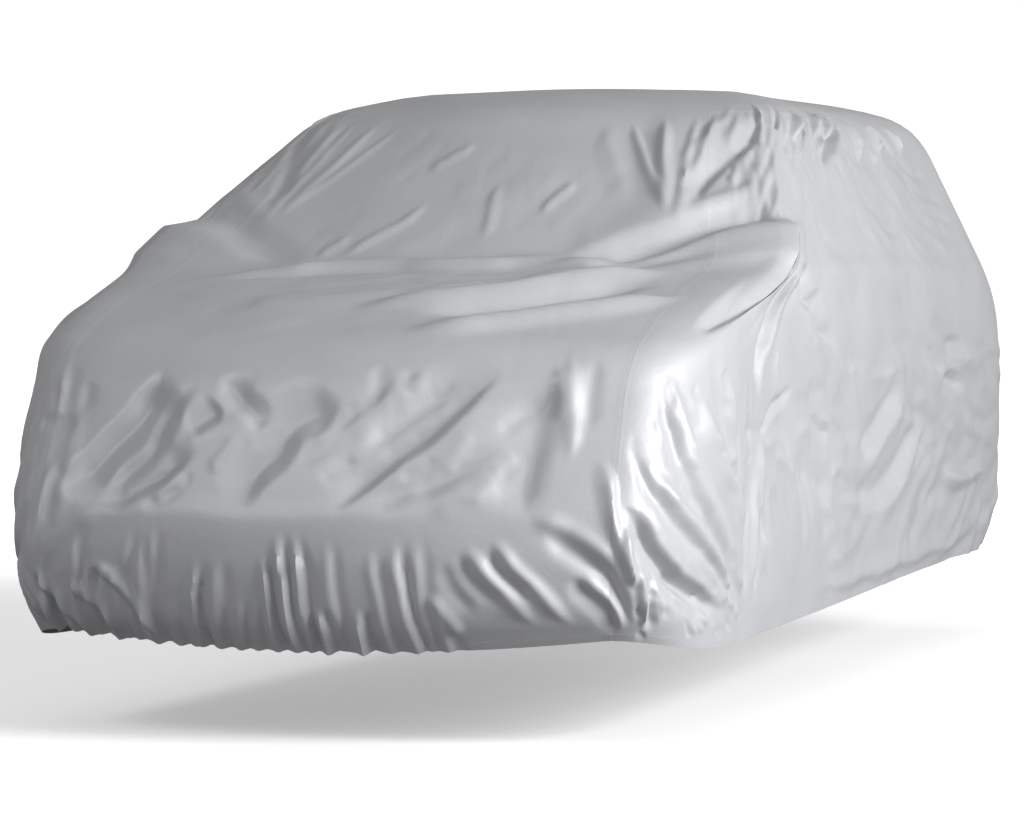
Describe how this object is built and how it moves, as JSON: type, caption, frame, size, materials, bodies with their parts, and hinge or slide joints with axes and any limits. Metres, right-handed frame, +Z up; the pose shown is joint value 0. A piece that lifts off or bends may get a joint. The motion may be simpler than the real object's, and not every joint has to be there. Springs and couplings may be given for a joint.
{
  "type": "fitted car cover",
  "caption": "Fitted outdoor cover for a five-door car: silver coated cloth in a top panel and two side panels, gathered at the hem, hanging hollow as it does over the car",
  "frame": {"origin": "on the inner face of the cloth, under the middle of the roof, where the roof of the car carries the cover", "axes": "+Z up, the front of the cover faces -Y, +X is the car's left; the ground is 1.8425 m below the origin"},
  "size_m": [1.9808, 4.9655, 1.6056],
  "materials": {
    "silver_top": "satin silver coating",
    "silver_left": "satin silver coating",
    "silver_right": "satin silver coating"
  },
  "bodies": {
    "root": {"top_panel": "silver_top", "side_panel_left": "silver_left", "side_panel_right": "silver_right"}
  },
  "joints": []
}
